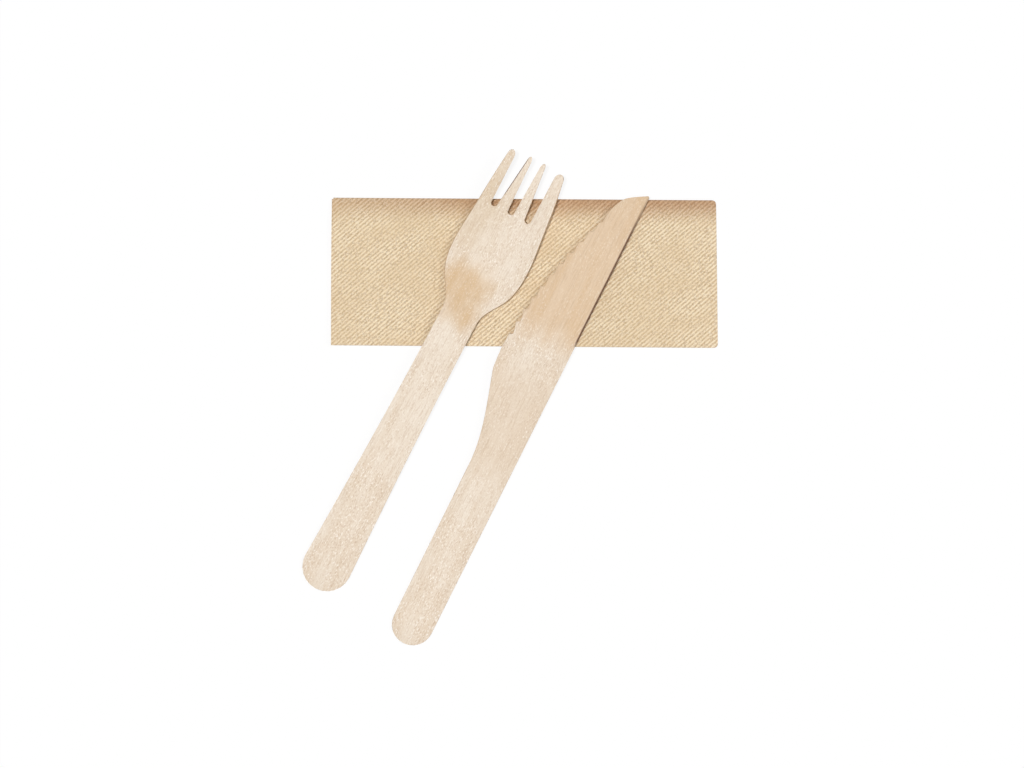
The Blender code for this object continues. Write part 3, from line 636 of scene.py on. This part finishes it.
class CUTLERY_OT_napkin(bpy.types.Operator):
    """Makes the folded paper napkin"""

    bl_idname = "cutlery.napkin"
    bl_label = "Napkin"

    def execute(self, context):
        settings = context.scene.cutlery.napkin
        bpy.ops.object.select_all(action="DESELECT")
        piece = bpy.data.objects.new("napkin_tissue", napkin_mesh(settings))
        context.collection.objects.link(piece)
        context.view_layer.objects.active = piece
        piece.select_set(True)
        bpy.ops.object.shade_smooth_by_angle(angle=PAPER_ANGLE)
        tissue = tissue_material("embossed_unbleached_tissue", settings)
        finish_piece(piece, "napkin", tissue)
        return {"FINISHED"}


class CUTLERY_OT_fork(bpy.types.Operator):
    """Makes the wooden fork"""

    bl_idname = "cutlery.fork"
    bl_label = "Fork"

    def execute(self, context):
        piece = merged_copy("fork", "fork_veneer")
        bpy.ops.object.shade_smooth_by_angle(angle=WOOD_ANGLE)
        birch = birch_material("fork_birch_veneer", context.scene.cutlery.fork)
        finish_piece(piece, "fork", birch)
        return {"FINISHED"}


class CUTLERY_OT_knife(bpy.types.Operator):
    """Makes the wooden knife"""

    bl_idname = "cutlery.knife"
    bl_label = "Knife"

    def execute(self, context):
        piece = merged_copy("knife", "knife_veneer")
        bpy.ops.object.shade_smooth_by_angle(angle=WOOD_ANGLE)
        birch = birch_material("knife_birch_veneer", context.scene.cutlery.knife)
        finish_piece(piece, "knife", birch)
        return {"FINISHED"}


def add_sun(name, strength, spread, turn, rise):
    """A distant lamp that shines from one side of the table and so high over it."""
    bpy.ops.object.light_add(type="SUN", rotation=(0.0, math.pi / 2 - rise, turn))
    lamp = bpy.context.active_object
    lamp.name = name
    lamp.data.energy = strength
    lamp.data.angle = spread


class CUTLERY_OT_stage(bpy.types.Operator):
    """Makes the white table, the soft light and the camera overhead"""

    bl_idname = "cutlery.stage"
    bl_label = "Stage"

    def execute(self, context):
        stage = context.scene.cutlery.stage
        bpy.ops.object.select_all(action="DESELECT")
        bpy.ops.mesh.primitive_plane_add(size=TABLE_SIZE, location=(0.0, 0.0, -TABLE_GAP))
        table = context.active_object
        table.name = "table"
        table.data.materials.append(table_material("matt_white_board", stage.table_colour))

        add_sun("key", stage.key_strength, stage.key_spread, stage.key_turn, stage.key_rise)
        add_sun("side", stage.side_strength, stage.side_spread, stage.side_turn, stage.side_rise)

        world = bpy.data.worlds.new("studio")
        context.scene.world = world
        world.use_nodes = True
        tree = world.node_tree
        tree.nodes.clear()
        seen = camera_or_gloss(tree)
        strength = add_node(tree, RAMP, [seen, 0.0, 1.0, stage.fill_strength, 1.0], **SMOOTH)
        light = add_node(tree, "ShaderNodeBackground", {"Color": (1.0, 1.0, 1.0), "Strength": strength})
        add_node(tree, "ShaderNodeOutputWorld", {"Surface": light})

        lens = bpy.data.cameras.new("overhead")
        lens.lens = stage.camera_lens
        lens.sensor_width = SENSOR_WIDTH
        camera = bpy.data.objects.new("overhead", lens)
        context.collection.objects.link(camera)
        camera.location = stage.camera_place
        camera.rotation_euler = (0.0, 0.0, stage.camera_roll)
        context.scene.camera = camera
        context.scene.view_settings.view_transform = "Standard"
        return {"FINISHED"}


class CUTLERY_PT_panel(bpy.types.Panel):
    """Lists the pieces of the cutlery set"""

    bl_idname = "CUTLERY_PT_panel"
    bl_label = "Cutlery set"
    bl_space_type = "VIEW_3D"
    bl_region_type = "UI"
    bl_category = "Cutlery set"

    def draw(self, context):
        for piece in ("napkin", "fork", "knife", "stage"):
            box = self.layout.box()
            box.operator(f"cutlery.{piece}")
            group = getattr(context.scene.cutlery, piece)
            for name in group.bl_rna.properties.keys():
                if name not in ("rna_type", "name"):
                    box.prop(group, name)


CLASSES = (
    NapkinSettings,
    WoodSettings,
    StageSettings,
    CutlerySettings,
    CUTLERY_OT_napkin,
    CUTLERY_OT_fork,
    CUTLERY_OT_knife,
    CUTLERY_OT_stage,
    CUTLERY_PT_panel,
)


def register():
    """Adds the classes and the settings to Blender."""
    for cls in CLASSES:
        bpy.utils.register_class(cls)
    bpy.types.Scene.cutlery = PointerProperty(
        name="Cutlery set", description="Settings of the cutlery set", type=CutlerySettings
    )


def unregister():
    """Takes the settings and the classes out again."""
    del bpy.types.Scene.cutlery
    for cls in reversed(CLASSES):
        bpy.utils.unregister_class(cls)


def main():
    """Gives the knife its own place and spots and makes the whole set."""
    register()
    knife = bpy.context.scene.cutlery.knife
    knife.butt = (-0.03841, -0.12015)
    knife.turn = math.radians(64.05)
    # The knife's line of painted shadow runs along its spine.
    knife.shadow_line_start = (0.109, -0.00715)
    knife.shadow_line_end = (0.172, -0.00738)
    knife.shadow_line_reach = 0.00072
    # The knife's toasted spot over its blade: heat tint and painted shade.
    knife.toast_and_shade_place = (0.150, 0.0)
    knife.toast_and_shade_size = (0.041, 0.030)
    knife.toast_and_shade_softness = 0.0065
    knife.toast_and_shade_colour = linear("#dbbd99")
    # The knife's spot of painted shade lies over its handle.
    knife.shade_spot_place = (0.078, 0.0)
    knife.shade_spot_size = (0.019, 0.030)
    knife.shade_spot_colour = linear("#dfcab1")
    bpy.ops.cutlery.napkin()
    bpy.ops.cutlery.fork()
    bpy.ops.cutlery.knife()
    bpy.ops.cutlery.stage()
    bpy.context.view_layer.update()


if __name__ == "__main__":
    main()
